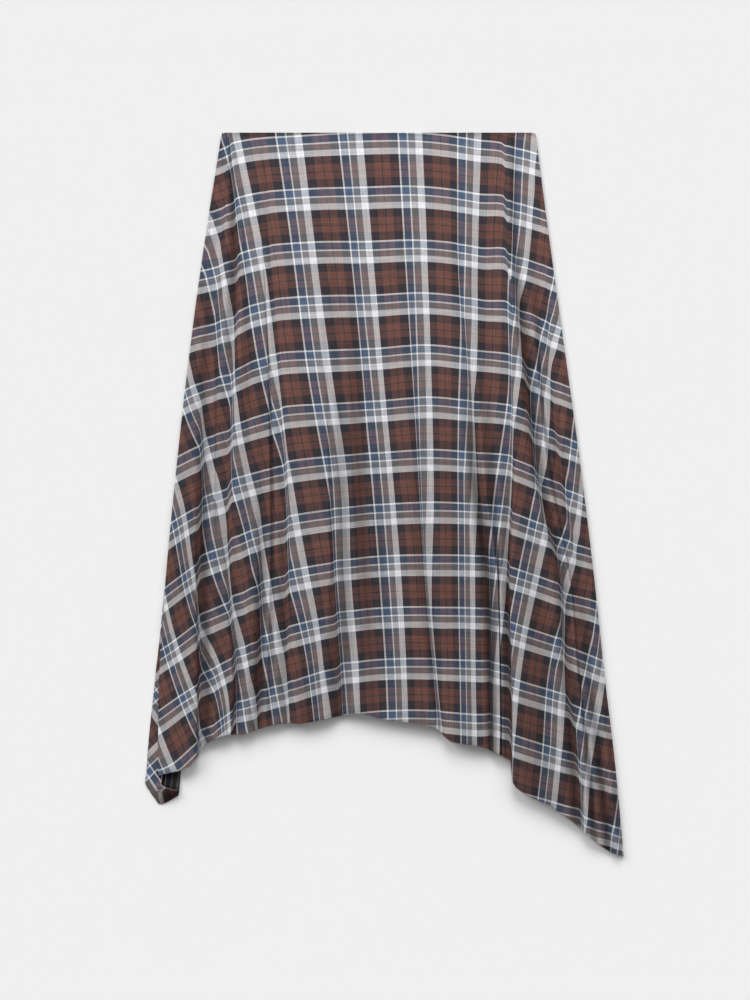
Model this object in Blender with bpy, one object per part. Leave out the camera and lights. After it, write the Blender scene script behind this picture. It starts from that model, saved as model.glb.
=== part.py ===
"""A flared midi skirt with a pointed hem, lying flat.

The back panel lies flat on the surface. The front panel lies on it in soft folds that grow from
the waist to the hem. The waist edge points to +Y, the hem to -Y and the front faces up.
"""

import math

import bmesh
import bpy
import numpy as np

UNIT = 0.001155  # one unit of the tables below, in metres
CENTRE_ACROSS = 384.6
CENTRE_DOWN = 494.3

WALL_FRONT = 0.0015
WALL_BACK = 0.0012
SEAM_GAP = 0.0003
HEM_TRIES = 4  # how often a column's place on the hem is worked out again
NEIGHBOUR_SHARE = 0.45  # the most of the way to the next fold line that a fold takes

# Rows of the mesh from waist to hem, as a share of the length of the cloth.
ROWS = (0.0, 0.06, 0.14, 0.22, 0.3, 0.38, 0.46, 0.54, 0.62, 0.7, 0.78, 0.86, 0.93, 1.0)

# Columns of the mesh: in a fold from its left edge to its right edge, and between two folds.
FOLD_COLUMNS = (-1.0, -0.65, -0.35, 0.0, 0.35, 0.65, 1.0)
FACET_COLUMNS = (0.25, 0.5, 0.75)

# How far down the skirt the columns of the next tables lie:
# waist, hip, seat, thigh, knee, shin, hem, tip
DOWN = (133.0, 265.0, 380.0, 480.0, 580.0, 680.0, 760.0, 856.0)

# Each fold line's place across the skirt at the stations.
FOLD_LINES = (
    # line, waist, hip, seat, thigh, knee, shin, hem, tip
    ("left_side", 222.0, 201.5, 186.5, 175.5, 166.0, 159.5, 158.6, 160.0),
    ("left_outer", 224.5, 211.0, 203.0, 202.0, 198.3, 198.7, 198.5, 198.5),
    ("left_deep", 230.0, 237.5, 234.0, 230.0, 230.0, 235.0, 232.0, 232.0),
    ("left_low", 246.0, 256.0, 260.0, 261.0, 261.0, 259.0, 259.0, 259.0),
    ("left_long", 264.0, 271.5, 280.0, 286.5, 287.5, 288.0, 289.0, 289.0),
    ("left_inner", 318.0, 324.0, 328.0, 331.0, 334.5, 340.0, 342.0, 342.0),
    ("middle", 362.0, 366.0, 371.0, 376.0, 382.0, 388.0, 392.0, 392.0),
    ("centre_deep", 402.0, 408.0, 414.0, 419.0, 425.5, 436.0, 444.0, 444.0),
    ("right_inner", 456.0, 458.0, 470.0, 479.0, 488.0, 489.5, 490.0, 490.0),
    ("right_over", 500.0, 505.0, 511.0, 512.0, 508.5, 510.5, 511.5, 512.0),
    ("right_long", 514.0, 514.0, 526.0, 537.0, 560.0, 566.0, 577.0, 584.0),
    ("right_outer", 528.0, 546.0, 550.0, 562.0, 579.0, 590.0, 602.0, 612.0),
    ("right_side", 535.0, 552.5, 568.5, 582.0, 594.0, 604.7, 614.3, 623.5),
)

# How high the cloth beside a line stands, in millimetres.
FOLD_TOPS = (
    # line, waist, hip, seat, thigh, knee, shin, hem, tip
    ("left_side", 0.0, 0.0, 0.0, 0.0, 0.0, 0.0, 0.0, 0.0),
    ("left_outer", 0.0, 0.6, 2.5, 7.5, 9.5, 10.5, 10.5, 10.5),
    ("left_deep", 0.8, 5.5, 9.5, 9.0, 9.0, 11.5, 12.0, 12.0),
    ("left_low", 0.4, 2.0, 3.0, 5.0, 8.0, 10.5, 12.0, 12.0),
    ("left_long", 0.6, 3.5, 5.5, 8.5, 9.0, 9.5, 11.5, 11.5),
    ("left_inner", 0.2, 1.5, 3.0, 5.5, 9.0, 11.0, 12.0, 12.0),
    ("middle", 0.2, 2.0, 4.5, 7.5, 10.0, 11.5, 12.0, 12.0),
    ("centre_deep", 0.2, 2.0, 4.5, 7.5, 10.5, 11.5, 12.0, 12.0),
    ("right_inner", 0.4, 2.5, 4.5, 8.0, 10.0, 11.5, 12.0, 12.0),
    ("right_over", 0.4, 2.0, 5.5, 8.0, 10.5, 12.0, 12.0, 12.0),
    ("right_long", 0.6, 3.5, 8.5, 8.5, 10.0, 10.0, 11.0, 11.0),
    ("right_outer", 0.4, 1.5, 3.5, 6.5, 5.0, 5.0, 6.0, 7.0),
    ("right_side", 0.0, 0.0, 0.0, 0.0, 0.0, 0.0, 0.0, 0.0),
)

# How deep a fold's bottom lies below its top, as a share of the top, at the stations.
FOLD_DEPTHS = (
    # line, waist, hip, seat, thigh, knee, shin, hem, tip
    ("left_side", 0.0, 0.0, 0.0, 0.0, 0.0, 0.0, 0.0, 0.0),
    ("left_outer", 0.0, 0.3, 0.7, 0.9, 0.9, 0.85, 0.55, 0.55),
    ("left_deep", 0.8, 0.9, 0.9, 0.8, 0.8, 0.85, 0.55, 0.55),
    ("left_low", 0.0, 0.0, 0.0, 0.3, 0.6, 0.7, 0.5, 0.5),
    ("left_long", 0.7, 0.8, 0.8, 0.85, 0.85, 0.7, 0.4, 0.4),
    ("left_inner", 0.0, 0.0, 0.2, 0.5, 0.8, 0.8, 0.5, 0.5),
    ("middle", 0.0, 0.0, 0.0, 0.0, 0.0, 0.0, 0.0, 0.0),
    ("centre_deep", 0.0, 0.4, 0.6, 0.7, 0.85, 0.8, 0.5, 0.5),
    ("right_inner", 0.6, 0.7, 0.7, 0.8, 0.85, 0.85, 0.5, 0.5),
    ("right_over", 0.0, 0.4, 0.8, 0.8, 0.9, 0.9, 0.6, 0.6),
    ("right_long", 0.8, 0.85, 0.9, 0.85, 0.85, 0.8, 0.5, 0.4),
    ("right_outer", 0.6, 0.8, 0.8, 0.8, 0.4, 0.0, 0.0, 0.0),
    ("right_side", 0.0, 0.0, 0.0, 0.0, 0.0, 0.0, 0.0, 0.0),
)

# How wide a fold is at the stations, and the share of its width that lies left of its line.
FOLD_WIDTHS = (
    # line, share, waist, hip, seat, thigh, knee, shin, hem, tip
    ("left_side", 0.50, 0.0, 0.0, 0.0, 0.0, 0.0, 0.0, 0.0, 0.0),
    ("left_outer", 0.20, 8.0, 10.0, 14.0, 16.0, 14.0, 13.0, 12.0, 12.0),
    ("left_deep", 0.35, 12.0, 18.0, 20.0, 18.0, 18.0, 16.0, 13.0, 13.0),
    ("left_low", 0.50, 16.0, 16.0, 16.0, 18.0, 18.0, 16.0, 16.0, 16.0),
    ("left_long", 0.55, 12.0, 16.0, 18.0, 20.0, 20.0, 18.0, 18.0, 18.0),
    ("left_inner", 0.50, 16.0, 16.0, 18.0, 20.0, 20.0, 18.0, 18.0, 18.0),
    ("middle", 0.50, 8.0, 8.0, 8.0, 8.0, 8.0, 8.0, 8.0, 8.0),
    ("centre_deep", 0.55, 16.0, 18.0, 20.0, 22.0, 22.0, 18.0, 14.0, 12.0),
    ("right_inner", 0.55, 16.0, 18.0, 20.0, 20.0, 20.0, 18.0, 16.0, 16.0),
    ("right_over", 0.82, 12.0, 14.0, 16.0, 16.0, 15.0, 14.0, 13.0, 13.0),
    ("right_long", 0.50, 10.0, 14.0, 18.0, 20.0, 20.0, 18.0, 18.0, 16.0),
    ("right_outer", 0.50, 8.0, 12.0, 16.0, 16.0, 14.0, 10.0, 10.0, 8.0),
    ("right_side", 0.50, 0.0, 0.0, 0.0, 0.0, 0.0, 0.0, 0.0, 0.0),
)

# The front panel's hem, from left to right.
FRONT_HEM = (
    # across, down
    (158.6, 775.6),
    (164.0, 773.6),
    (172.0, 771.6),
    (180.5, 769.7),
    (191.0, 765.0),
    (197.5, 757.0),
    (200.2, 751.2),
    (205.3, 744.1),
    (215.5, 738.0),
    (224.7, 735.0),
    (242.0, 733.9),
    (248.2, 732.3),
    (257.3, 729.3),
    (267.6, 725.7),
    (277.8, 723.2),
    (289.0, 722.8),
    (300.0, 723.3),
    (322.0, 719.3),
    (343.0, 715.2),
    (352.0, 712.9),
    (361.0, 712.6),
    (370.0, 714.9),
    (380.0, 718.0),
    (392.0, 719.6),
    (408.0, 721.8),
    (425.0, 724.7),
    (434.0, 726.1),
    (440.0, 731.0),
    (446.0, 737.8),
    (452.0, 741.3),
    (460.0, 742.8),
    (475.0, 744.8),
    (486.0, 747.8),
    (500.0, 754.4),
    (510.3, 760.0),
    (512.3, 781.5),
    (515.5, 786.5),
    (525.0, 793.5),
    (541.0, 800.8),
    (551.5, 804.7),
    (555.0, 809.5),
    (562.0, 814.0),
    (572.0, 820.5),
    (583.0, 830.6),
    (598.0, 843.6),
    (612.0, 852.8),
    (623.4, 855.6),
)

# How far the cloth between a line and the next bellies up at the hem, in millimetres.
BELLIES = (
    # line, belly
    ("left_side", 4.0),
    ("left_outer", 1.5),
    ("left_deep", 1.5),
    ("left_low", 1.5),
    ("left_long", 2.0),
    ("left_inner", 0.5),
    ("middle", 0.5),
    ("centre_deep", 1.5),
    ("right_inner", 0.5),
    ("right_over", 1.5),
    ("right_long", 1.0),
    ("right_outer", 1.5),
)

# Outline of the back panel: its two sides at the stations, and its hem from left to right.
BACK_SIDES = (
    # side, waist, hip, seat, thigh, knee, shin, hem, tip
    ("left", 222.0, 201.5, 186.5, 175.5, 166.0, 155.3, 147.3, 146.0),
    ("right", 535.0, 552.5, 568.5, 582.0, 594.0, 604.7, 614.3, 623.0),
)
BACK_HEM = (
    # across, down
    (146.2, 783.4),
    (152.0, 795.0),
    (158.4, 803.3),
    (165.2, 802.9),
    (179.0, 794.9),
    (181.5, 766.0),
    (198.0, 750.0),
    (223.1, 733.0),
    (259.0, 725.0),
    (289.0, 719.5),
    (321.0, 716.0),
    (362.0, 710.0),
    (408.0, 718.0),
    (441.0, 728.0),
    (475.0, 740.5),
    (510.0, 755.0),
    (517.0, 783.0),
    (553.0, 803.5),
    (584.0, 827.0),
    (608.0, 843.5),
    (623.0, 851.5),
)

CLOTH_SLOTS = (
    # slot, colour, roughness
    ("front_cloth", (0.09, 0.05, 0.04, 1.0), 0.9),
    ("back_cloth", (0.07, 0.04, 0.035, 1.0), 0.9),
)


def clear_scene():
    """Removes what the scene starts with."""
    for thing in list(bpy.data.objects):
        bpy.data.objects.remove(thing, do_unlink=True)


def along(values, down):
    """A smooth curve through a table row's values, read at a distance down the skirt."""
    slopes = np.gradient(values, DOWN)
    i = int(np.clip(np.searchsorted(DOWN, down) - 1, 0, len(DOWN) - 2))
    span = DOWN[i + 1] - DOWN[i]
    t = min(max((down - DOWN[i]) / span, 0.0), 1.0)
    start = (2 * t**3 - 3 * t**2 + 1) * values[i] + (t**3 - 2 * t**2 + t) * span * slopes[i]
    end = (3 * t**2 - 2 * t**3) * values[i + 1] + (t**3 - t**2) * span * slopes[i + 1]
    return start + end


def ease(t):
    """Goes from 0 to 1 with a soft start and end."""
    return t * t * (3.0 - 2.0 * t)


def growth(down):
    """How far the folds have grown at a distance down the skirt, from 0 to 1."""
    return ease(min(max((down - DOWN[0]) / (DOWN[5] - DOWN[0]), 0.0), 1.0))


def fold_edges(line, down):
    """A fold's left edge, its line and its right edge, across the skirt."""
    across = along(FOLD_LINES[line][1:], down)
    if line in (0, len(FOLD_LINES) - 1):
        return across, across, across
    share, width = FOLD_WIDTHS[line][1], along(FOLD_WIDTHS[line][2:], down)
    to_left = across - along(FOLD_LINES[line - 1][1:], down)
    to_right = along(FOLD_LINES[line + 1][1:], down) - across
    left = min(width * share, NEIGHBOUR_SHARE * to_left)
    right = min(width * (1 - share), NEIGHBOUR_SHARE * to_right)
    return across - left, across, across + right


def fold_heights(line, down):
    """The height of the cloth beside a fold and of the fold's bottom, in millimetres."""
    top = max(along(FOLD_TOPS[line][1:], down), 0.0)
    depth = min(max(along(FOLD_DEPTHS[line][1:], down), 0.0), 1.0)
    return top, top * (1.0 - depth)


def front_columns():
    """The columns of the front panel as (line, place, kind), from left to right."""
    columns = []
    last = len(FOLD_LINES) - 1
    for line in range(last + 1):
        places = (0.0,) if line in (0, last) else FOLD_COLUMNS
        columns += [(line, place, "fold") for place in places]
        if line < last:
            columns += [(line, place, "facet") for place in FACET_COLUMNS]
    return columns


def column_point(column, down):
    """A column's place across the skirt and its height in millimetres."""
    line, place, kind = column
    left, middle, right = fold_edges(line, down)
    top, bottom = fold_heights(line, down)
    if kind == "fold":
        side = middle - left if place < 0 else right - middle
        return middle + side * place, bottom + (top - bottom) * ease(abs(place))
    end = fold_edges(line + 1, down)[0]
    end_top = fold_heights(line + 1, down)[0]
    belly = BELLIES[line][1] * growth(down) * math.sin(math.pi * place)
    return right + (end - right) * place, top + (end_top - top) * ease(place) + belly


def hem_of(column):
    """How far down the hem lies at a column."""
    across, down = np.transpose(FRONT_HEM)
    hem = DOWN[6]
    for _ in range(HEM_TRIES):
        hem = float(np.interp(column_point(column, hem)[0], across, down))
    return hem


def front_point(column, share):
    """A point of the front panel's middle surface, in metres."""
    down = DOWN[0] + share * (hem_of(column) - DOWN[0])
    across, height = column_point(column, down)
    base = WALL_BACK + SEAM_GAP + WALL_FRONT / 2
    return on_page(across, down) + [base + height * 0.001]


def on_page(across, down):
    """The place in metres of a point of the tables."""
    return [(across - CENTRE_ACROSS) * UNIT, (CENTRE_DOWN - down) * UNIT]


def wall(points, thickness):
    """Vertices and faces of a closed wall of even thickness round a grid of points."""
    rows, columns = points.shape[:2]
    down = np.gradient(points, axis=0)
    across = np.gradient(points, axis=1)
    normals = np.cross(down, across)
    normals /= np.linalg.norm(normals, axis=2, keepdims=True)
    normals *= np.sign(normals[..., 2:3])
    shift = normals * thickness / 2
    shift[0], shift[-1] = shift[0] * (0, 0, 1), shift[-1] * (0, 0, 1)
    shift[:, 0], shift[:, -1] = shift[:, 0] * (0, 0, 1), shift[:, -1] * (0, 0, 1)
    vertices = np.concatenate([(points + shift).reshape(-1, 3), (points - shift).reshape(-1, 3)])
    under = rows * columns
    faces = []
    for r in range(rows - 1):
        for c in range(columns - 1):
            a = r * columns + c
            quad = (a, a + columns, a + columns + 1, a + 1)
            faces.append(quad)
            faces.append(tuple(under + v for v in reversed(quad)))
    rim = [c for c in range(columns)]
    rim += [r * columns + columns - 1 for r in range(1, rows)]
    rim += [(rows - 1) * columns + c for c in reversed(range(columns - 1))]
    rim += [r * columns for r in reversed(range(1, rows - 1))]
    for a, b in zip(rim, rim[1:] + rim[:1]):
        faces.append((a, b, under + b, under + a))
    return vertices, faces


def add_object(name, slot, vertices, faces):
    """Makes a named object of the triangles with the slot's material."""
    work = bmesh.new()
    made = [work.verts.new(tuple(float(x) for x in v)) for v in vertices]
    for face in faces:
        work.faces.new([made[v] for v in face])
    bmesh.ops.triangulate(work, faces=work.faces[:], quad_method="SHORT_EDGE")
    bmesh.ops.recalc_face_normals(work, faces=work.faces[:])
    mesh = bpy.data.meshes.new(name)
    work.to_mesh(mesh)
    work.free()
    thing = bpy.data.objects.new(name, mesh)
    bpy.context.scene.collection.objects.link(thing)
    thing.data.materials.append(cloth_material(slot))


def cloth_material(slot):
    """The plain cloth of one panel."""
    colour, roughness = next(row[1:] for row in CLOTH_SLOTS if row[0] == slot)
    material = bpy.data.materials.new(slot)
    material.use_nodes = True
    shader = material.node_tree.nodes["Principled BSDF"]
    shader.inputs["Base Color"].default_value = colour
    shader.inputs["Roughness"].default_value = roughness
    return material


def add_front_panel():
    """The front panel, a wavy wall that lies on the back panel."""
    columns = front_columns()
    points = np.array([[front_point(column, share) for column in columns] for share in ROWS])
    add_object("front_panel", "front_cloth", *wall(points, WALL_FRONT))


def add_back_panel():
    """The back panel, a flat wall on the surface."""
    left, right = (row[1:] for row in BACK_SIDES)
    points = []
    for share in ROWS:
        row = []
        for across, hem in BACK_HEM:
            place = (across - along(left, hem)) / (along(right, hem) - along(left, hem))
            down = DOWN[0] + share * (hem - DOWN[0])
            start, end = along(left, down), along(right, down)
            row.append(on_page(start + (end - start) * place, down) + [WALL_BACK / 2])
        points.append(row)
    add_object("back_panel", "back_cloth", *wall(np.array(points), WALL_BACK))


clear_scene()
add_back_panel()
add_front_panel()
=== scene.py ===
"""The looks of a flared plaid midi skirt laid flat: cloth, hems and a turned corner."""

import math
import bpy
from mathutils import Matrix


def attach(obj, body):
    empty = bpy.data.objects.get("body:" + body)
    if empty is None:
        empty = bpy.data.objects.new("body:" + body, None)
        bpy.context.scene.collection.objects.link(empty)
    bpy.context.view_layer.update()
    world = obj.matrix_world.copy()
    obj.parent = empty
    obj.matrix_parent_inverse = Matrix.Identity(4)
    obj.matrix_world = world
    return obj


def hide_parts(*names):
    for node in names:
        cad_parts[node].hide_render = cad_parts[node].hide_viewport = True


bl_info = {
    "name": "Plaid midi skirt",
    "version": (1, 0, 0),
    "blender": (4, 5, 0),
    "location": "3D View > Sidebar > Skirt",
    "description": "Makes a plaid midi skirt laid flat, piece by piece",
    "category": "Object",
}

import bmesh
import bpy
import numpy as np
from bpy.props import FloatProperty, FloatVectorProperty, IntProperty, PointerProperty
from mathutils import Vector

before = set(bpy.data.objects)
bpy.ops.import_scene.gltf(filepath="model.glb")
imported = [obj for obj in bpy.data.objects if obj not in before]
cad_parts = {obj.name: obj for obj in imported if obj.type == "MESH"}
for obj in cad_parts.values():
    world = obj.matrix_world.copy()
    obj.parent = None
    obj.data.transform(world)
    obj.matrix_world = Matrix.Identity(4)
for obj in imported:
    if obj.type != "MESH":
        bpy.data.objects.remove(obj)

UNIT = 0.001155  # one unit of the tables below, in metres
MILLIMETRE = 0.001
CENTRE_ACROSS = 384.6  # where the frame's origin lies, in units
CENTRE_DOWN = 494.3
VIEW_ACROSS = 375.0  # where the camera looks
VIEW_DOWN = 500.0

NEIGHBOUR_SHARE = 0.45  # the most of the way to the next fold line that a fold takes
COLUMN_CROWDING = 1.6  # how much closer the columns stand near a fold line
PINCH = 3.5  # how far from its line a fold hides cloth
FOLD_COLUMNS = 8  # columns on each side of a fold line
FACET_COLUMN = 3.0  # how far apart the columns between two folds stand at the shin
FACET_LEAST = 6  # the fewest steps between two folds
FRONT_ROWS = 131
HEM_TRIES = 4  # how often a column's place on the hem is worked out again
HEM = 6  # the hem's place among the stations
SHIN = 6  # the shin's place in a table's row, which starts with a name
WAIST_ROUNDING = 4.0  # radius of the waist's two corners, in units
WAIST_SHADE = 0.35  # how much light the turned waist edge loses
SHADE_LEAN = 1.3  # how far a fold's shade moves to its wider side
SHADE_LEAN_MOST = 0.6

BACK_HEIGHT = 0.0006  # the middle of the back panel's cloth, in metres
BACK_ROWS = 61
BACK_STEPS = 4  # columns for each point of the back panel's hem
CORNER_ROWS = 17
CORNER_STEPS = 6  # columns for each row of the corner's table
HOLLOW_COLUMNS = 15

ROLL_TURNS = (20, 55, 90, 125, 160)  # how far round the steps of a turned edge are, in degrees
HEM_TURN = 0.005  # how far a turned edge goes back inside, in metres
HEM_HIGHLIGHT = 1.0  # how strong the painted highlight along the hem's turned edge is
CORNER_HIGHLIGHT = 1.7  # and the painted highlight along the turned corner's inner edge
LOWEST = 0.0011  # a turned edge of the front panel stays above this height, in metres
LEAST_ROLL = 0.0001  # the least radius of a turned edge, in metres

WARP_REPEAT = 60.5  # the plaid's repeat across and down, in units
WEFT_REPEAT = 52.4

# How far down the skirt the columns of the fold tables lie:
# waist, hip, seat, thigh, knee, shin, hem, tip
DOWN = (133.0, 265.0, 380.0, 480.0, 580.0, 680.0, 760.0, 856.0)

FOLD_LINES = (
    # line, waist, hip, seat, thigh, knee, shin, hem, tip
    ("left_side", 222.0, 201.5, 186.5, 175.5, 166.0, 159.5, 158.6, 160.0),
    ("left_outer", 224.5, 211.0, 203.0, 202.0, 198.3, 198.7, 198.5, 198.5),
    ("left_deep", 230.0, 237.5, 234.0, 230.0, 230.0, 235.0, 232.0, 232.0),
    ("left_low", 246.0, 256.0, 260.0, 261.0, 261.0, 259.0, 259.0, 259.0),
    ("left_long", 264.0, 271.5, 280.0, 286.5, 287.5, 288.0, 289.0, 289.0),
    ("left_inner", 318.0, 324.0, 328.0, 331.0, 334.5, 340.0, 342.0, 342.0),
    ("middle", 362.0, 366.0, 371.0, 376.0, 382.0, 388.0, 392.0, 392.0),
    ("centre_deep", 402.0, 408.0, 414.0, 419.0, 425.5, 436.0, 444.0, 444.0),
    ("right_inner", 456.0, 458.0, 470.0, 479.0, 488.0, 489.5, 490.0, 490.0),
    ("right_over", 500.0, 505.0, 511.0, 512.0, 508.5, 510.5, 511.5, 512.0),
    ("right_long", 514.0, 514.0, 526.0, 537.0, 560.0, 566.0, 577.0, 584.0),
    ("right_outer", 528.0, 546.0, 550.0, 562.0, 579.0, 590.0, 602.0, 612.0),
    ("right_side", 535.0, 552.5, 568.5, 582.0, 594.0, 604.7, 614.3, 623.5),
)

# How high the cloth beside a line stands, in millimetres.
FOLD_TOPS = (
    # line, waist, hip, seat, thigh, knee, shin, hem, tip
    ("left_side", 0.0, 0.3, 1.0, 1.6, 2.4, 3.2, 3.4, 3.4),
    ("left_outer", 0.0, 0.6, 2.5, 7.5, 9.5, 10.5, 10.5, 10.5),
    ("left_deep", 0.8, 5.5, 9.5, 9.0, 9.0, 11.5, 12.0, 12.0),
    ("left_low", 0.4, 2.0, 3.0, 5.0, 8.0, 10.5, 12.0, 12.0),
    ("left_long", 0.6, 3.5, 5.5, 8.5, 9.0, 9.5, 11.5, 11.5),
    ("left_inner", 0.2, 1.5, 3.0, 5.5, 9.0, 11.0, 12.0, 12.0),
    ("middle", 0.2, 2.0, 4.5, 7.5, 10.0, 11.5, 12.0, 12.0),
    ("centre_deep", 0.2, 2.0, 4.5, 7.5, 10.5, 11.5, 12.0, 12.0),
    ("right_inner", 0.4, 2.5, 4.5, 8.0, 10.0, 11.5, 12.0, 12.0),
    ("right_over", 0.4, 2.0, 5.5, 8.0, 10.5, 12.0, 12.0, 12.0),
    ("right_long", 0.6, 3.5, 8.5, 8.5, 10.0, 10.0, 11.0, 11.0),
    ("right_outer", 0.4, 1.5, 3.5, 6.5, 5.0, 5.0, 6.0, 7.0),
    ("right_side", 0.0, 0.3, 0.8, 1.2, 1.5, 1.5, 1.5, 1.5),
)

# How deep a fold's bottom lies below its top, as a share of the top, at the stations.
FOLD_DEPTHS = (
    # line, waist, hip, seat, thigh, knee, shin, hem, tip
    ("left_side", 0.0, 0.0, 0.0, 0.0, 0.0, 0.0, 0.0, 0.0),
    ("left_outer", 0.0, 0.3, 0.9, 0.95, 0.95, 0.95, 0.7, 0.6),
    ("left_deep", 0.8, 0.9, 0.5, 0.4, 0.6, 0.85, 0.55, 0.55),
    ("left_low", 0.0, 0.0, 0.0, 0.3, 0.6, 0.7, 0.5, 0.5),
    ("left_long", 0.6, 0.6, 0.4, 0.35, 0.5, 0.6, 0.4, 0.4),
    ("left_inner", 0.0, 0.3, 0.6, 0.7, 0.8, 0.8, 0.5, 0.5),
    ("middle", 0.0, 0.0, 0.0, 0.0, 0.0, 0.0, 0.0, 0.0),
    ("centre_deep", 0.0, 0.3, 0.4, 0.5, 0.6, 0.6, 0.4, 0.4),
    ("right_inner", 0.6, 0.7, 0.7, 0.8, 0.85, 0.85, 0.5, 0.5),
    ("right_over", 0.0, 0.2, 0.4, 0.6, 0.8, 0.8, 0.6, 0.5),
    ("right_long", 0.8, 0.85, 0.9, 0.85, 0.85, 0.8, 0.5, 0.4),
    ("right_outer", 0.6, 0.8, 0.8, 0.8, 0.5, 0.5, 0.6, 0.6),
    ("right_side", 0.0, 0.0, 0.0, 0.0, 0.0, 0.0, 0.0, 0.0),
)

# How wide a fold is at the stations, in units.
FOLD_WIDTHS = (
    # line, waist, hip, seat, thigh, knee, shin, hem, tip
    ("left_side", 0.0, 0.0, 0.0, 0.0, 0.0, 0.0, 0.0, 0.0),
    ("left_outer", 8.0, 12.0, 18.0, 20.0, 20.0, 22.0, 22.0, 22.0),
    ("left_deep", 12.0, 18.0, 22.0, 22.0, 20.0, 20.0, 18.0, 18.0),
    ("left_low", 16.0, 16.0, 16.0, 18.0, 18.0, 16.0, 16.0, 16.0),
    ("left_long", 12.0, 20.0, 26.0, 28.0, 26.0, 24.0, 20.0, 20.0),
    ("left_inner", 16.0, 28.0, 36.0, 38.0, 38.0, 34.0, 26.0, 26.0),
    ("middle", 8.0, 8.0, 10.0, 16.0, 16.0, 12.0, 8.0, 8.0),
    ("centre_deep", 16.0, 20.0, 24.0, 24.0, 22.0, 16.0, 10.0, 10.0),
    ("right_inner", 16.0, 18.0, 20.0, 20.0, 20.0, 18.0, 16.0, 16.0),
    ("right_over", 12.0, 16.0, 22.0, 28.0, 28.0, 28.0, 26.0, 26.0),
    ("right_long", 10.0, 16.0, 22.0, 26.0, 24.0, 22.0, 22.0, 22.0),
    ("right_outer", 8.0, 12.0, 16.0, 16.0, 16.0, 16.0, 18.0, 18.0),
    ("right_side", 0.0, 0.0, 0.0, 0.0, 0.0, 0.0, 0.0, 0.0),
)

# The share of a fold's width that lies left of its line. Near 0 or 1, one side laps over.
FOLD_SHARES = (
    # line, waist, hip, seat, thigh, knee, shin, hem, tip
    ("left_side", 0.50, 0.50, 0.50, 0.50, 0.50, 0.50, 0.50, 0.50),
    ("left_outer", 0.40, 0.40, 0.45, 0.35, 0.15, 0.08, 0.08, 0.08),
    ("left_deep", 0.75, 0.75, 0.80, 0.70, 0.35, 0.12, 0.10, 0.10),
    ("left_low", 0.50, 0.50, 0.50, 0.50, 0.50, 0.50, 0.50, 0.50),
    ("left_long", 0.60, 0.80, 0.85, 0.85, 0.80, 0.70, 0.60, 0.60),
    ("left_inner", 0.50, 0.20, 0.12, 0.08, 0.14, 0.50, 0.60, 0.60),
    ("middle", 0.50, 0.50, 0.50, 0.50, 0.50, 0.50, 0.50, 0.50),
    ("centre_deep", 0.55, 0.45, 0.45, 0.45, 0.50, 0.55, 0.55, 0.55),
    ("right_inner", 0.55, 0.55, 0.65, 0.75, 0.55, 0.40, 0.36, 0.36),
    ("right_over", 0.75, 0.80, 0.90, 0.92, 0.95, 0.95, 0.95, 0.95),
    ("right_long", 0.50, 0.40, 0.35, 0.30, 0.40, 0.45, 0.75, 0.75),
    ("right_outer", 0.50, 0.50, 0.50, 0.50, 0.50, 0.60, 0.75, 0.75),
    ("right_side", 0.50, 0.50, 0.50, 0.50, 0.50, 0.50, 0.50, 0.50),
)

# The plaid's count of warp repeats just left of a fold line, and just right of it.
REPEATS_BEFORE = (
    # line, waist, hip, seat, thigh, knee, shin, hem, tip
    ("left_side", 0.70, -0.33, -1.10, -1.97, -2.85, -3.65, -4.20, -5.00),
    ("left_outer", 0.75, -0.20, -0.78, -1.50, -1.93, -2.80, -3.51, -4.30),
    ("left_deep", 0.84, 0.30, -0.15, -0.76, -1.09, -1.72, -2.00, -2.40),
    ("left_low", 1.17, 0.89, 0.63, 0.20, -0.25, -0.82, -1.12, -1.50),
    ("left_long", 1.46, 1.17, 1.04, 0.65, 0.36, 0.04, -0.19, -0.50),
    ("left_inner", 2.33, 2.17, 1.98, 1.73, 1.48, 1.29, 1.12, 0.80),
    ("middle", 3.06, 2.92, 2.81, 2.73, 2.70, 2.69, 2.72, 2.72),
    ("centre_deep", 3.73, 3.70, 3.66, 3.57, 3.51, 3.64, 3.80, 3.90),
    ("right_inner", 4.62, 4.61, 4.84, 5.07, 5.30, 5.36, 5.34, 5.34),
    ("right_over", 5.37, 5.56, 5.69, 5.93, 6.08, 6.28, 6.31, 6.30),
    ("right_long", 5.61, 5.71, 6.16, 6.66, 7.45, 8.03, 8.34, 8.70),
    ("right_outer", 5.86, 6.42, 7.00, 7.38, 8.20, 8.78, 9.24, 9.70),
    ("right_side", 5.99, 6.60, 7.44, 8.00, 8.55, 9.06, 9.47, 10.00),
)
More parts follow.
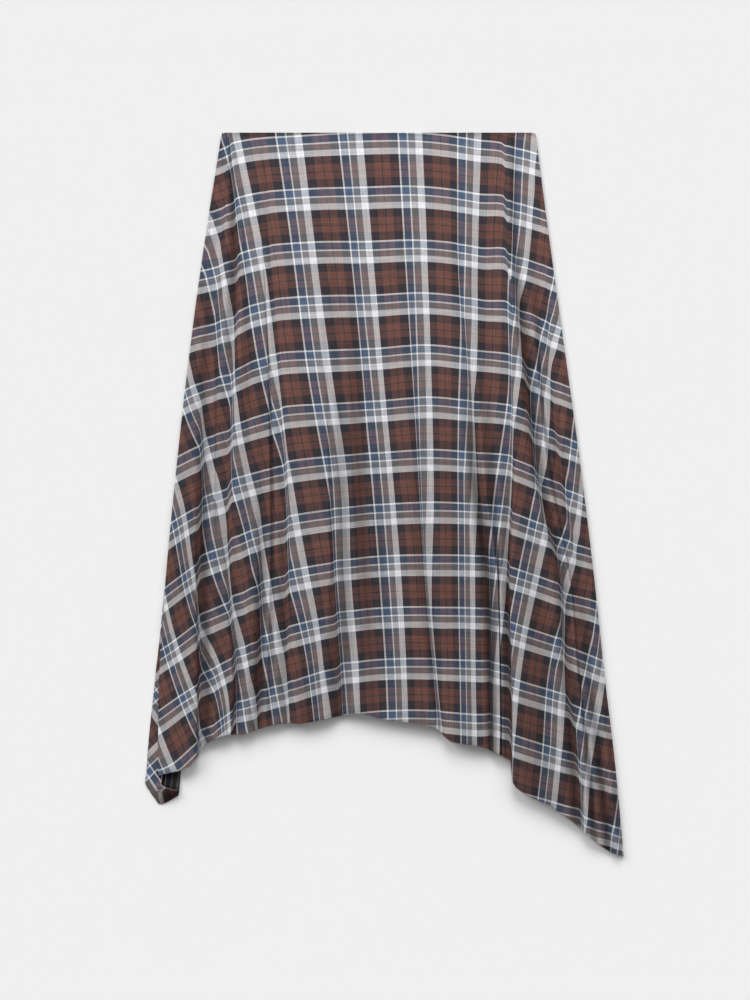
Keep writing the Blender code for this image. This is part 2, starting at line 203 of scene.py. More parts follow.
REPEATS_AFTER = (
    # line, waist, hip, seat, thigh, knee, shin, hem, tip
    ("left_side", 0.70, -0.33, -1.10, -1.97, -2.85, -3.65, -4.20, -5.00),
    ("left_outer", 0.75, -0.20, -0.76, -1.20, -1.62, -2.50, -3.25, -4.00),
    ("left_deep", 0.91, 0.54, 0.06, -0.34, -0.87, -1.26, -1.50, -1.85),
    ("left_low", 1.17, 0.89, 0.63, 0.22, -0.10, -0.48, -0.77, -1.10),
    ("left_long", 1.48, 1.27, 1.17, 0.96, 0.66, 0.16, -0.04, -0.30),
    ("left_inner", 2.33, 2.17, 1.98, 1.79, 1.78, 1.73, 1.66, 1.50),
    ("middle", 3.06, 2.92, 2.81, 2.73, 2.70, 2.69, 2.72, 2.72),
    ("centre_deep", 3.73, 3.72, 3.75, 3.81, 3.96, 4.12, 4.30, 4.45),
    ("right_inner", 4.64, 4.70, 4.97, 5.37, 5.70, 5.88, 5.92, 6.00),
    ("right_over", 5.38, 5.59, 5.88, 6.22, 6.52, 6.87, 7.05, 7.30),
    ("right_long", 5.64, 5.81, 6.56, 6.96, 7.88, 8.35, 8.77, 9.10),
    ("right_outer", 5.88, 6.47, 7.10, 7.60, 8.22, 8.79, 9.25, 9.75),
    ("right_side", 5.99, 6.60, 7.44, 8.00, 8.55, 9.06, 9.47, 10.00),
)

# The plaid's count of weft repeats down the middle of the front, at the stations.
REPEATS_DOWN = (0.653, 3.106, 5.293, 7.214, 9.147, 11.087, 12.640, 14.500)

# How many weft repeats the plaid droops at a count of warp repeats, at the stations.
DROOP = (
    # repeat, waist, hip, seat, thigh, knee, shin, hem, tip
    (-6, 3.20, 3.20, 3.20, 3.20, 3.20, 3.20, 3.10, 3.00),
    (-5, 2.60, 2.60, 2.60, 2.60, 2.60, 2.55, 2.45, 2.40),
    (-4, 2.05, 2.05, 2.05, 2.05, 2.10, 2.12, 2.06, 2.03),
    (-3, 1.66, 1.66, 1.66, 1.66, 1.68, 1.60, 1.34, 1.30),
    (-2, 1.22, 1.22, 1.22, 1.22, 1.25, 1.12, 1.01, 1.01),
    (-1, 0.90, 0.77, 0.76, 0.79, 0.84, 0.77, 0.76, 0.76),
    (0, 0.58, 0.46, 0.49, 0.46, 0.50, 0.50, 0.50, 0.50),
    (1, 0.17, 0.14, 0.17, 0.22, 0.25, 0.26, 0.26, 0.26),
    (2, 0.06, 0.03, 0.09, 0.09, 0.09, 0.07, 0.06, 0.06),
    (3, 0.00, 0.02, 0.04, 0.02, 0.01, 0.00, 0.00, 0.00),
    (4, 0.00, -0.01, -0.03, -0.02, 0.01, 0.02, 0.03, 0.03),
    (5, 0.14, 0.11, 0.06, 0.02, 0.02, 0.05, 0.12, 0.12),
    (6, 0.37, 0.35, 0.18, 0.10, 0.10, 0.10, 0.12, 0.12),
    (7, 0.65, 0.65, 0.61, 0.49, 0.40, 0.42, 0.49, 0.49),
    (8, 0.95, 0.95, 0.95, 0.87, 0.76, 0.68, 0.77, 0.77),
    (9, 1.20, 1.20, 1.20, 1.15, 1.00, 1.08, 1.07, 1.07),
    (10, 1.50, 1.50, 1.50, 1.40, 1.30, 1.35, 1.35, 1.35),
    (11, 1.80, 1.80, 1.80, 1.70, 1.60, 1.65, 1.65, 1.65),
)

# How many weft repeats the plaid stands higher just left of a line, and how far left that reaches.
KINKS = (
    # line, reach, waist, hip, seat, thigh, knee, shin, hem, tip
    ("right_over", 26.0, 0.03, 0.09, -0.02, 0.0, 0.0, 0.0, 0.0, 0.0),
)
KINK_END = 5.0  # how far right of the line the plaid takes to settle

# The front panel's hem, from left to right, in units.
FRONT_HEM = (
    # across, down
    (158.6, 775.6),
    (164.0, 773.6),
    (172.0, 771.6),
    (180.5, 769.7),
    (191.0, 765.0),
    (197.5, 757.0),
    (200.2, 751.2),
    (205.3, 744.1),
    (215.5, 738.0),
    (224.7, 735.0),
    (242.0, 733.9),
    (248.2, 732.3),
    (257.3, 729.3),
    (267.6, 725.7),
    (277.8, 723.2),
    (289.0, 722.8),
    (300.0, 723.3),
    (322.0, 719.3),
    (343.0, 715.2),
    (352.0, 712.9),
    (361.0, 712.6),
    (370.0, 714.9),
    (380.0, 718.0),
    (392.0, 719.6),
    (408.0, 721.8),
    (425.0, 724.7),
    (434.0, 726.1),
    (440.0, 731.0),
    (446.0, 737.8),
    (452.0, 741.3),
    (460.0, 742.8),
    (475.0, 744.8),
    (486.0, 747.8),
    (500.0, 754.4),
    (510.3, 760.0),
    (512.3, 781.5),
    (515.5, 786.5),
    (525.0, 793.5),
    (541.0, 800.8),
    (551.5, 804.7),
    (555.0, 809.5),
    (562.0, 814.0),
    (572.0, 820.5),
    (583.0, 830.6),
    (598.0, 843.6),
    (612.0, 852.8),
    (623.4, 855.6),
)

# How far the cloth between a line and the next bellies up, or sinks, in millimetres.
BELLIES = (
    # line, waist, hip, seat, thigh, knee, shin, hem, tip
    ("left_side", 0.0, 0.5, 1.0, 2.0, 3.0, 3.5, 3.5, 3.5),
    ("left_outer", 0.0, 0.0, -0.5, 0.5, 1.0, 1.5, 1.5, 1.5),
    ("left_deep", 0.0, 0.0, 0.5, 0.5, 1.0, 1.5, 1.5, 1.5),
    ("left_low", 0.0, -1.0, -2.0, -4.0, -3.5, -2.5, -0.5, 0.0),
    ("left_long", 0.0, 0.5, 1.0, 1.0, 1.0, 1.0, 1.5, 1.5),
    ("left_inner", 0.0, -1.0, -3.0, -4.0, -3.0, -0.5, 0.5, 0.5),
    ("middle", 0.0, 0.3, 0.5, 0.5, 0.5, 0.5, 0.5, 0.5),
    ("centre_deep", 0.0, 0.5, 0.8, 1.0, 1.0, 1.2, 1.5, 1.5),
    ("right_inner", 0.0, -0.5, -2.0, -5.0, -6.0, -6.0, -3.0, -3.0),
    ("right_over", 0.0, 0.5, 1.0, 1.0, 1.5, 1.5, 1.5, 1.5),
    ("right_long", 0.0, 0.5, 0.5, 0.5, 0.5, 0.8, 1.0, 1.0),
    ("right_outer", 0.0, 0.3, 0.5, 1.0, 1.5, 1.5, 1.5, 1.5),
)

# How much light the cloth loses at the stations, the more the higher and closer the folds are.
SHADE = (0.0, 0.07, 0.15, 0.22, 0.25, 0.26, 0.26, 0.26)

# How much more light a fold's bottom loses, and the middle of the cloth to the next line.
FOLD_SHADES = (
    # line, waist, hip, seat, thigh, knee, shin, hem, tip
    ("left_side", 0.0, 0.0, 0.0, 0.0, 0.0, 0.0, 0.0, 0.0),
    ("left_outer", 0.1, 0.15, 0.35, 0.45, 0.55, 0.55, 0.5, 0.5),
    ("left_deep", 0.5, 0.45, 0.1, 0.0, 0.15, 0.15, 0.1, 0.1),
    ("left_low", 0.0, 0.0, 0.1, 0.15, 0.55, 0.5, 0.3, 0.3),
    ("left_long", 0.0, 0.1, 0.05, 0.05, 0.15, 0.2, 0.2, 0.2),
    ("left_inner", 0.0, 0.1, 0.2, 0.4, 0.45, 0.4, 0.35, 0.35),
    ("middle", 0.0, 0.0, 0.0, 0.15, 0.25, 0.1, 0.0, 0.0),
    ("centre_deep", 0.0, 0.1, 0.1, 0.1, 0.1, 0.05, 0.0, 0.0),
    ("right_inner", 0.0, 0.15, 0.2, 0.6, 0.6, 0.7, 0.8, 0.8),
    ("right_over", 0.0, 0.0, 0.0, 0.1, 0.1, 0.15, 0.15, 0.15),
    ("right_long", 0.2, 0.55, 0.55, 0.6, 0.35, 0.4, 0.6, 0.6),
    ("right_outer", 0.0, 0.0, 0.1, 0.05, 0.15, 0.4, 0.6, 0.6),
    ("right_side", 0.0, 0.0, 0.0, 0.0, 0.0, 0.0, 0.0, 0.0),
)
FACET_SHADES = (
    # line, waist, hip, seat, thigh, knee, shin, hem, tip
    ("left_side", 0.1, 0.15, 0.1, 0.1, 0.1, 0.0, 0.0, 0.0),
    ("left_outer", 0.1, 0.15, 0.2, 0.2, 0.15, 0.05, 0.1, 0.1),
    ("left_deep", 0.0, 0.0, 0.0, 0.0, 0.0, 0.0, 0.0, 0.0),
    ("left_low", 0.0, 0.1, 0.4, 0.3, 0.2, 0.2, 0.1, 0.1),
    ("left_long", 0.0, 0.0, 0.0, 0.0, 0.0, 0.2, 0.4, 0.4),
    ("left_inner", 0.0, 0.05, 0.22, 0.4, 0.35, 0.2, 0.1, 0.1),
    ("middle", 0.0, 0.0, 0.0, 0.0, 0.0, 0.05, 0.1, 0.1),
    ("centre_deep", 0.0, 0.0, 0.0, 0.1, 0.1, 0.15, 0.2, 0.2),
    ("right_inner", 0.0, 0.1, 0.2, 0.4, 0.3, 0.3, 0.35, 0.35),
    ("right_over", 0.0, 0.0, 0.0, 0.1, 0.15, 0.25, 0.3, 0.3),
    ("right_long", 0.0, 0.1, 0.4, 0.45, 0.2, 0.35, 0.5, 0.5),
    ("right_outer", 0.0, 0.0, 0.0, 0.0, 0.0, 0.1, 0.25, 0.35),
)

# The back panel's two sides at the stations, and its hem from left to right.
BACK_SIDES = (
    # side, waist, hip, seat, thigh, knee, shin, hem, tip
    ("left", 222.0, 201.5, 186.5, 175.5, 166.0, 155.3, 147.3, 146.0),
    ("right", 535.0, 552.5, 568.5, 582.0, 594.0, 604.7, 614.3, 623.0),
)
BACK_HEM = (
    # across, down
    (146.2, 783.4),
    (152.0, 795.0),
    (158.4, 802.3),
    (165.2, 801.9),
    (179.0, 793.9),
    (181.5, 766.0),
    (198.0, 750.0),
    (223.1, 733.0),
    (259.0, 725.0),
    (289.0, 719.5),
    (321.0, 716.0),
    (362.0, 710.0),
    (408.0, 718.0),
    (441.0, 728.0),
    (475.0, 740.5),
    (510.0, 755.0),
    (517.0, 783.0),
    (553.0, 803.5),
    (584.0, 827.0),
    (608.0, 843.5),
    (623.0, 851.5),
)

# The turned left corner, from where it comes out from under the front panel to its end.
CORNER = (
    # outer across, outer down, inner across, inner down, outer height, crown, inner height
    (164.5, 590.0, 171.0, 590.0, 1.2, 0.0, 1.2),
    (161.3, 623.0, 170.5, 623.0, 1.2, 0.2, 1.4),
    (159.0, 646.0, 169.5, 646.0, 1.2, 0.5, 1.6),
    (156.2, 668.5, 168.5, 668.0, 1.2, 0.8, 1.7),
    (154.4, 688.0, 167.5, 688.0, 1.2, 1.1, 1.8),
    (152.5, 704.6, 166.5, 704.0, 1.2, 1.3, 1.9),
    (151.6, 718.5, 166.0, 718.0, 1.2, 1.5, 2.0),
    (149.3, 740.0, 165.5, 740.0, 1.2, 1.8, 2.2),
    (147.8, 759.5, 165.0, 757.0, 1.2, 2.1, 2.4),
    (146.5, 774.0, 163.5, 771.0, 1.2, 2.4, 2.8),
    (145.2, 782.0, 161.8, 779.0, 1.2, 2.6, 3.6),
    (147.2, 787.0, 161.4, 783.6, 1.2, 2.8, 6.0),
    (150.0, 790.7, 162.5, 785.0, 1.2, 2.8, 7.4),
    (154.7, 797.6, 164.5, 786.2, 1.2, 2.8, 8.4),
    (158.2, 803.0, 167.0, 787.1, 1.2, 2.8, 8.8),
    (160.8, 803.8, 169.9, 787.8, 1.2, 2.6, 8.8),
    (165.1, 802.8, 172.5, 788.6, 1.2, 2.4, 8.4),
    (171.2, 799.6, 175.5, 789.1, 1.2, 1.8, 7.6),
    (178.6, 795.2, 178.8, 789.5, 1.2, 1.0, 6.4),
)

# The shaded reverse inside the turned corner: how far it reaches across and down, and its height.
HOLLOW = (
    # left, right, down, height
    (157.0, 183.0, 757.0, 1.3),
    (157.5, 181.0, 770.0, 1.3),
    (158.6, 179.9, 778.0, 1.4),
    (160.4, 179.4, 784.5, 2.2),
    (162.0, 179.0, 790.5, 3.0),
)

# The plaid on the turned corner runs slantwise: its place at a point, and how fast it changes.
SLANT_POINT = (150.0, 771.2)
SLANT_WARP = (0.088, 0.0207, -0.822, 0.569)  # there, change in a unit, direction of the change
SLANT_WEFT = (0.094, 0.0200, -0.696, -0.718)
SLANT_NAVY_END = 0.162  # from here on the warp changes less, so its bands are wider
SLANT_SLOWER = 0.6  # how much less

# Past a line through TIP_POINT, the tip of the corner shows the plaid's other places.
TIP_POINT = (158.6, 791.6)
TIP_DIRECTION = (0.556, 0.831)  # away from the corner's strip
TIP_BLEND = 3.0  # how wide the change is
TIP_WEFT = -0.36  # the weft's place all over the tip
TIP_LEVEL = 797.0  # TIP_WARP_PLACES hold this far down
TIP_LEAN = 0.2  # how they shift across for each unit further down
TIP_WARP_PLACES = (147.0, 159.0, 163.6, 180.0)  # across, and the warp's place there
TIP_WARP = (0.18, 0.286, 0.41, 0.70)
TIP_SHADE_PLACES = (150.0, 161.0, 167.0)  # across, and the light lost there
TIP_SHADES = (0.25, 0.2, 0.55)

# The plaid on the reverse, inside the turned corner.
REVERSE_POINT = (165.6, 780.0)
REVERSE_START = 0.014  # the warp's place at the point
REVERSE_SCALE = 0.0240  # repeats in a unit
REVERSE_LEAN = 0.15  # how the plaid shifts across for each unit further down
REVERSE_WEFT = 0.9  # the weft's place all over it

# The yarns across one repeat: how much of the repeat each band takes, warp and weft.
SETT = (
    # yarn, warp share, weft share
    ("white_line", 0.025, 0.028),
    ("navy", 0.124, 0.130),
    ("white_line", 0.025, 0.028),
    ("grey", 0.112, 0.113),
    ("light", 0.124, 0.117),
    ("dark", 0.152, 0.153),
    ("rust", 0.132, 0.128),
    ("dark", 0.017, 0.019),
    ("rust", 0.133, 0.121),
    ("dark", 0.156, 0.163),
)
WARP_START = 0.348  # where in the repeat a whole count of repeats lies
WEFT_START = 0.358
SCREEN_GAMMA = 2.2
MIXING_GAMMA = 2.0  # how the yarns' colours mix: 1 as on the screen, 2.2 as light does
WEAVE_CONTRAST = 0.2  # how far single yarns stand out of the mix of warp and weft
EDGE_HIGHLIGHT_SHARE = 0.5  # how much of the painted highlight colour a turned edge takes
SLUBS = ((40.0, 2.0, 1.0), (2.0, 36.0, 1.0))  # fineness of the uneven warp and weft yarns
SLUB_LEAST = 0.54  # light without them
SLUB_SHARE = 0.48  # and what each of the two adds

# The lights stand on the waist's side of the skirt.
LIGHTS = (
    # name, towards it, strength, spread in degrees
    ("top", (0.0, 1.0, 0.70), 1.63, 32.0),
    ("left", (-0.9, 0.75, 0.75), 1.53, 32.0),
    ("right", (0.8, 0.75, 0.85), 0.6, 38.0),
)
SKY_LIGHT = 0.30
FLOOR_REACH = 6.0  # in metres
VIEW_END = 20.0  # how far the camera sees, in metres


def curve(t, start, end, start_slope, end_slope):
    """A smooth step from start to end as t goes from 0 to 1, with its slopes at both."""
    first = (2 * t**3 - 3 * t**2 + 1) * start + (t**3 - 2 * t**2 + t) * start_slope
    last = (3 * t**2 - 2 * t**3) * end + (t**3 - t**2) * end_slope
    return first + last


def along(values, down):
    """A smooth curve through a value for each station, read at distances down the skirt."""
    values, stations = np.asarray(values, float), np.asarray(DOWN)
    slopes = np.gradient(values, stations)
    down = np.asarray(down, float)
    i = np.clip(np.searchsorted(stations, down) - 1, 0, len(stations) - 2)
    span = stations[i + 1] - stations[i]
    t = np.clip((down - stations[i]) / span, 0.0, 1.0)
    return curve(t, values[i], values[i + 1], span * slopes[i], span * slopes[i + 1])


def at(table, line, down):
    """What a table says of a fold line, at distances down the skirt."""
    return along(table[line][1:], down)


def ease(t):
    """Goes from 0 to 1 with a soft start and end."""
    t = np.clip(t, 0.0, 1.0)
    return t * t * (3.0 - 2.0 * t)


def droop(repeats, down):
    """How many weft repeats the plaid droops at a warp repeat and a distance down the skirt."""
    table = np.array([along(row[1:], down) for row in DROOP])
    last = len(DROOP) - 1
    place = np.clip(repeats - DROOP[0][0], 0.0, last - 0.001)
    i = place.astype(int)
    columns = np.arange(len(down))
    start, end = table[i, columns], table[i + 1, columns]
    start_slope = (end - table[np.maximum(i - 1, 0), columns]) / 2
    end_slope = (table[np.minimum(i + 2, last), columns] - start) / 2
    return curve(place - i, start, end, start_slope, end_slope)


def kinks(across, down):
    """How many weft repeats the plaid stands higher beside the sharp folds."""
    higher = np.zeros(len(down))
    names = [row[0] for row in FOLD_LINES]
    for name, reach, *heights in KINKS:
        past = across - at(FOLD_LINES, names.index(name), down)
        share = np.where(past < 0, ease(1.0 + past / reach), ease(1.0 - past / KINK_END))
        higher += along(heights, down) * share
    return higher


class Socket:
    """A shader value: arithmetic on it adds Math nodes."""

    def __init__(self, finish, socket):
        self.finish = finish
        self.socket = socket

    def math(self, operation, *others):
        """The result of a Math node on this value and the others."""
        return self.finish.node("ShaderNodeMath", {"operation": operation}, self, *others)

    def __add__(self, other):
        return self.math("ADD", other)

    __radd__ = __add__

    def __mul__(self, other):
        return self.math("MULTIPLY", other)

    __rmul__ = __mul__

    def fraction(self):
        """The part after the decimal point."""
        return self.math("FRACT")

    def sine(self):
        """The sine of this value."""
        return self.math("SINE")


class Finish:
    """A material's node tree, with one method that adds any node."""

    def __init__(self, name):
        self.material = bpy.data.materials.new(name)
        self.material.use_nodes = True
        self.nodes = self.material.node_tree.nodes
        self.links = self.material.node_tree.links
        self.shader = self.nodes["Principled BSDF"]

    def join(self, target, value):
        """Links a value to a socket, or sets the socket to a number or colour."""
        if isinstance(value, Socket):
            self.links.new(value.socket, target)
        else:
            target.default_value = value

    def node(self, kind, settings=None, *values, output=0, **named):
        """Adds a node, sets it, joins its inputs and gives one of its outputs."""
        made = self.nodes.new(kind)
        for key, value in (settings or {}).items():
            if key == "stops":
                self.set_stops(made.color_ramp, value)
            else:
                setattr(made, key, value)
        for key, value in list(enumerate(values)) + list(named.items()):
            self.join(made.inputs[key], value)
        return Socket(self, made.outputs[output])

    def set_stops(self, ramp, stops):
        """Gives a colour ramp bands: each colour holds from its place to the next."""
        ramp.interpolation = "CONSTANT"
        ramp.elements.remove(ramp.elements[-1])
        ramp.elements[0].position, ramp.elements[0].color = stops[0]
        for place, colour in stops[1:]:
            ramp.elements.new(place).color = colour

    def part(self, vector, axis):
        """One number of a vector."""
        return self.node("ShaderNodeSeparateXYZ", None, vector, output=axis)

    def evenly(self, value):
        """A grey colour from one number."""
        return self.node("ShaderNodeCombineXYZ", None, value, value, value)

    def noise(self, spot, fineness):
        """Flat noise, stretched to one side or the other."""
        place = self.node("ShaderNodeVectorMath", {"operation": "MULTIPLY"}, spot, fineness)
        return self.node("ShaderNodeTexNoise", {"noise_dimensions": "2D"}, Vector=place, Scale=1.0)

    def mix(self, factor, first, second, blend="MIX"):
        """Mixes two colours."""
        settings = {"data_type": "RGBA", "blend_type": blend}
        made = self.node("ShaderNodeMix", settings, factor, output=2)
        inputs = made.socket.node.inputs
        self.join(inputs[6], first)
        self.join(inputs[7], second)
        return made

    def times(self, colour, value):
        """A colour made lighter or darker by a number."""
        return self.mix(1.0, colour, self.evenly(value), "MULTIPLY")

    def set(self, **values):
        """Joins values to the shader's sockets, with _ for a space."""
        for key, value in values.items():
            self.join(self.shader.inputs[key.replace("_", " ")], value)


def mixing_colour(colour):
    """A colour as the yarns' colours are mixed."""
    return [*(value**MIXING_GAMMA for value in colour), 1.0]


def yarn_ramp(finish, place, column, settings):
    """The colour of the yarn at a place in the repeat."""
    stops, start = [], 0.0
    for row in SETT:
        stops.append((start, mixing_colour(getattr(settings, row[0]))))
        start += row[column]
    return finish.node("ShaderNodeValToRGB", {"stops": stops}, place)


def plaid_cloth(settings):
    """Thin yarn-dyed cloth, made once: its plaid follows each piece's own map, in repeats."""
    made = bpy.data.materials.get("plaid")
    if made:
        return made
    finish = Finish("plaid")
    spot = finish.node("ShaderNodeUVMap", {"uv_map": "cloth"})
    looks = finish.node("ShaderNodeUVMap", {"uv_map": "looks"})
    u, v = finish.part(spot, 0), finish.part(spot, 1)
    edge, shade = finish.part(looks, 0), finish.part(looks, 1)
    warp = yarn_ramp(finish, (u + WARP_START).fraction(), 1, settings)
    weft = yarn_ramp(finish, (v + WEFT_START).fraction(), 2, settings)
    warp_threads = (u * (math.tau * settings.warp_yarns)).sine()
    weft_threads = (v * (math.tau * settings.weft_yarns)).sine()
    weave = warp_threads * weft_threads
    slub = finish.noise(spot, SLUBS[0]) + finish.noise(spot, SLUBS[1])
    yarn = finish.mix(0.5 + WEAVE_CONTRAST * weave, warp, weft)
    # Painted highlight: the turned edges take part of the light edge colour.
    yarn = finish.mix(edge * EDGE_HIGHLIGHT_SHARE, yarn, mixing_colour(settings.edge))
    yarn = finish.times(yarn, SLUB_LEAST + SLUB_SHARE * slub)
    lit = finish.node("ShaderNodeGamma", None, yarn, SCREEN_GAMMA / MIXING_GAMMA)
    height = (weave + slub) * 0.5
    bump = finish.node("ShaderNodeBump", None, Strength=0.25, Distance=0.0002, Height=height)
    finish.set(Base_Color=finish.times(lit, shade), Roughness=0.86, Normal=bump)
    finish.set(Specular_IOR_Level=0.1)
    return finish.material


def grid_piece(name, points, cloth, settings):
    """A sheet of cloth from a grid, moved to its points, with its two maps and a thin wall."""
    rows, columns = points.shape[:2]
    work = bmesh.new()
    bmesh.ops.create_grid(work, x_segments=columns - 1, y_segments=rows - 1, size=0.5)
    cloth_map = work.loops.layers.uv.new("cloth")
    looks_map = work.loops.layers.uv.new("looks")
    where = {}
    for vertex in work.verts:
        column = round((vertex.co.x + 0.5) * (columns - 1))
        row = round((0.5 - vertex.co.y) * (rows - 1))
        where[vertex.index] = (row, column)
    for vertex in work.verts:
        vertex.co = points[where[vertex.index]]
    for face in work.faces:
        face.smooth = True
        for loop in face.loops:
            loop[cloth_map].uv = cloth[where[loop.vert.index]][:2]
            loop[looks_map].uv = cloth[where[loop.vert.index]][2:]
    mesh = bpy.data.meshes.new(name)
    work.to_mesh(mesh)
    work.free()
    piece = bpy.data.objects.new(name, mesh)
    bpy.context.scene.collection.objects.link(piece)
    piece.data.materials.append(plaid_cloth(settings))
    wall = piece.modifiers.new("wall", "SOLIDIFY")
    wall.thickness = settings.wall
    wall.offset = 0.0
    wall.use_even_offset = False
    return piece


def on_page(across, down):
    """The place in metres of points of the tables."""
    return (across - CENTRE_ACROSS) * UNIT, (CENTRE_DOWN - down) * UNIT


def places_of(across, down, height):
    """Points in metres of places across and down in units and heights in metres."""
    x, y = on_page(across, down)
    return np.stack([x, y, np.broadcast_to(height, np.shape(x))], axis=-1)


def looks_of(warp, weft, shade):
    """Cloth places in repeats, with no painted highlight on the edge and a painted shade."""
    shape = np.shape(warp)
    weft, shade = np.broadcast_to(weft, shape), np.broadcast_to(shade, shape)
    return np.stack([warp, weft, np.zeros(shape), shade], axis=-1)


def front_columns():
    """The columns of the front panel as (line, place, kind), from left to right."""
    columns = []
    last = len(FOLD_LINES) - 1
    fold = np.linspace(-1.0, 1.0, 2 * FOLD_COLUMNS + 1)
    for line in range(last + 1):
        for place in (0.0,) if line in (0, last) else fold:
            crowded = math.copysign(abs(place) ** COLUMN_CROWDING, place)
            columns.append((line, crowded, "fold"))
        if line < last:
            width = FOLD_LINES[line + 1][SHIN] - FOLD_LINES[line][SHIN]
            count = max(FACET_LEAST, round(width / FACET_COLUMN))
            columns += [(line, i / count, "facet") for i in range(1, count)]
    return columns


def fold_edges(line, down):
    """A fold's left edge, its line and its right edge, across the skirt."""
    across = at(FOLD_LINES, line, down)
    if line in (0, len(FOLD_LINES) - 1):
        return across, across, across
    share, width = at(FOLD_SHARES, line, down), at(FOLD_WIDTHS, line, down)
    to_left = across - at(FOLD_LINES, line - 1, down)
    to_right = at(FOLD_LINES, line + 1, down) - across
    left = np.minimum(width * share, NEIGHBOUR_SHARE * to_left)
    right = np.minimum(width * (1 - share), NEIGHBOUR_SHARE * to_right)
    return across - left, across, across + right


def fold_heights(line, down):
    """The height of the cloth beside a fold and of the fold's bottom, in millimetres."""
    top = np.maximum(at(FOLD_TOPS, line, down), 0.0)
    depth = np.clip(at(FOLD_DEPTHS, line, down), 0.0, 1.0)
    return top, top * (1.0 - depth)


def fold_repeats(line, down):
    """The count of warp repeats at a fold's left edge and right edge."""
    left, middle, right = fold_edges(line, down)
    before = at(REPEATS_BEFORE, line, down) - (middle - left) / WARP_REPEAT
    after = at(REPEATS_AFTER, line, down) + (right - middle) / WARP_REPEAT
    return before, after


def column_point(column, down):
    """A column's place across the skirt, its height in millimetres and its warp repeats."""
    line, place, kind = column
    left, middle, right = fold_edges(line, down)
    top, bottom = fold_heights(line, down)
    before, after = fold_repeats(line, down)
    if kind == "fold":
        side = middle - left if place < 0 else right - middle
        across = middle + side * place
        reach = np.minimum(PINCH, np.maximum(side, 0.01))
        near = np.clip((across - middle) / reach, -1.0, 1.0)
        gone = 0.5 * (1 + near) ** 2 if place < 0 else 1 - 0.5 * (1 - near) ** 2
        hidden = after - before - (right - left) / WARP_REPEAT
        repeats = before + (across - left) / WARP_REPEAT + hidden * gone
        return across, bottom + (top - bottom) * ease(abs(place)), repeats
    end = fold_edges(line + 1, down)[0]
    end_top = fold_heights(line + 1, down)[0]
    end_repeats = fold_repeats(line + 1, down)[0]
    belly = at(BELLIES, line, down) * math.sin(math.pi * place)
    height = top + (end_top - top) * ease(place) + belly
    return right + (end - right) * place, height, after + (end_repeats - after) * place


def fold_shade(column, down):
    """How much light reaches the cloth of a column, from 0 to 1."""
    line, place, kind = column
    if kind == "fold":
        lean = SHADE_LEAN * (0.5 - at(FOLD_SHARES, line, down))
        centre = np.clip(lean, -SHADE_LEAN_MOST, SHADE_LEAN_MOST)
        away = np.abs(place - centre) / (1.0 - np.abs(centre))
        more = at(FOLD_SHADES, line, down) * (1.0 - ease(away))
    else:
        more = at(FACET_SHADES, line, down) * math.sin(math.pi * place)
    return (1.0 - along(SHADE, down)) * (1.0 - more)


def hem_of(column):
    """How far down the hem lies at a column."""
    across, down = np.transpose(FRONT_HEM)
    hem = DOWN[HEM]
    for _ in range(HEM_TRIES):
        hem = float(np.interp(column_point(column, hem)[0], across, down))
    return hem


def waist_of(column):
    """How far down the waist lies at a column: its two ends are rounded."""
    across = float(column_point(column, DOWN[0])[0])
    left, right = FOLD_LINES[0][1], FOLD_LINES[-1][1]
    near = max(0.0, WAIST_ROUNDING - min(across - left, right - across))
    return DOWN[0] + WAIST_ROUNDING - math.sqrt(max(0.0, WAIST_ROUNDING**2 - near**2))


def roll_rows(points, cloth, roll, end, edge_highlight):
    """Adds the rows that turn under at the first or the last row of a grid; they carry a painted
    highlight of the given strength.
    """
    edge, inner = (0, 1) if end == "first" else (-1, -2)
    away = points[edge] - points[inner]
    away[:, 2] = 0.0
    away /= np.maximum(np.linalg.norm(away, axis=1, keepdims=True), 1e-9)
    step = cloth[edge] - cloth[inner]
    step[:, 2:] = 0.0
    step /= np.linalg.norm(points[edge] - points[inner], axis=1, keepdims=True)
    radius = np.clip((points[edge][:, 2:] - LOWEST) / 2, LEAST_ROLL, roll)
    start = points[edge] - away * radius
    rows, cloths = [], []
    for turn in ROLL_TURNS:
        angle = math.radians(turn)
        out = start + away * radius * math.sin(angle)
        out[:, 2:] -= radius * (1 - math.cos(angle))
        rows.append(out)
        cloths.append(cloth[edge] + step * radius * (angle - 1))
        # The turned rows carry the strength of the painted highlight along the edge.
        cloths[-1][:, 2] = edge_highlight
    rows.append(rows[-1] - away * HEM_TURN)
    cloths.append(cloths[-1] + step * HEM_TURN)
    points[edge], cloth[edge] = start, cloth[edge] - step * radius
    if end == "first":
        return np.concatenate([rows[::-1], points]), np.concatenate([cloths[::-1], cloth])
    return np.concatenate([points, rows]), np.concatenate([cloth, cloths])


def rolled(points, cloth, roll):
    """A cloth grid with its four edges turned under; the last row is the hem."""
    points, cloth = roll_rows(points, cloth, roll, "first", 0.0)
    points, cloth = roll_rows(points, cloth, roll, "last", HEM_HIGHLIGHT)
    points, cloth = points.transpose(1, 0, 2), cloth.transpose(1, 0, 2)
    points, cloth = roll_rows(points, cloth, roll, "first", 0.0)
    points, cloth = roll_rows(points, cloth, roll, "last", 0.0)
    return points.transpose(1, 0, 2), cloth.transpose(1, 0, 2)


def front_surface(settings):
    """Points in metres and cloth places in repeats of the front panel."""
    shares = np.linspace(0.0, 1.0, FRONT_ROWS)
    points, cloth = [], []
    for column in front_columns():
        waist = waist_of(column)
        down = waist + shares * (hem_of(column) - waist)
        across, height, repeats = column_point(column, down)
        drooped = along(REPEATS_DOWN, down) - droop(repeats, down) + kinks(across, down)
        points.append(places_of(across, down, settings.rest + height * MILLIMETRE))
        cloth.append(looks_of(repeats, drooped, fold_shade(column, down)))
    points, cloth = np.stack(points, axis=1), np.stack(cloth, axis=1)
    cloth[0, :, 3] *= 1.0 - WAIST_SHADE
    return rolled(points, cloth, settings.roll)


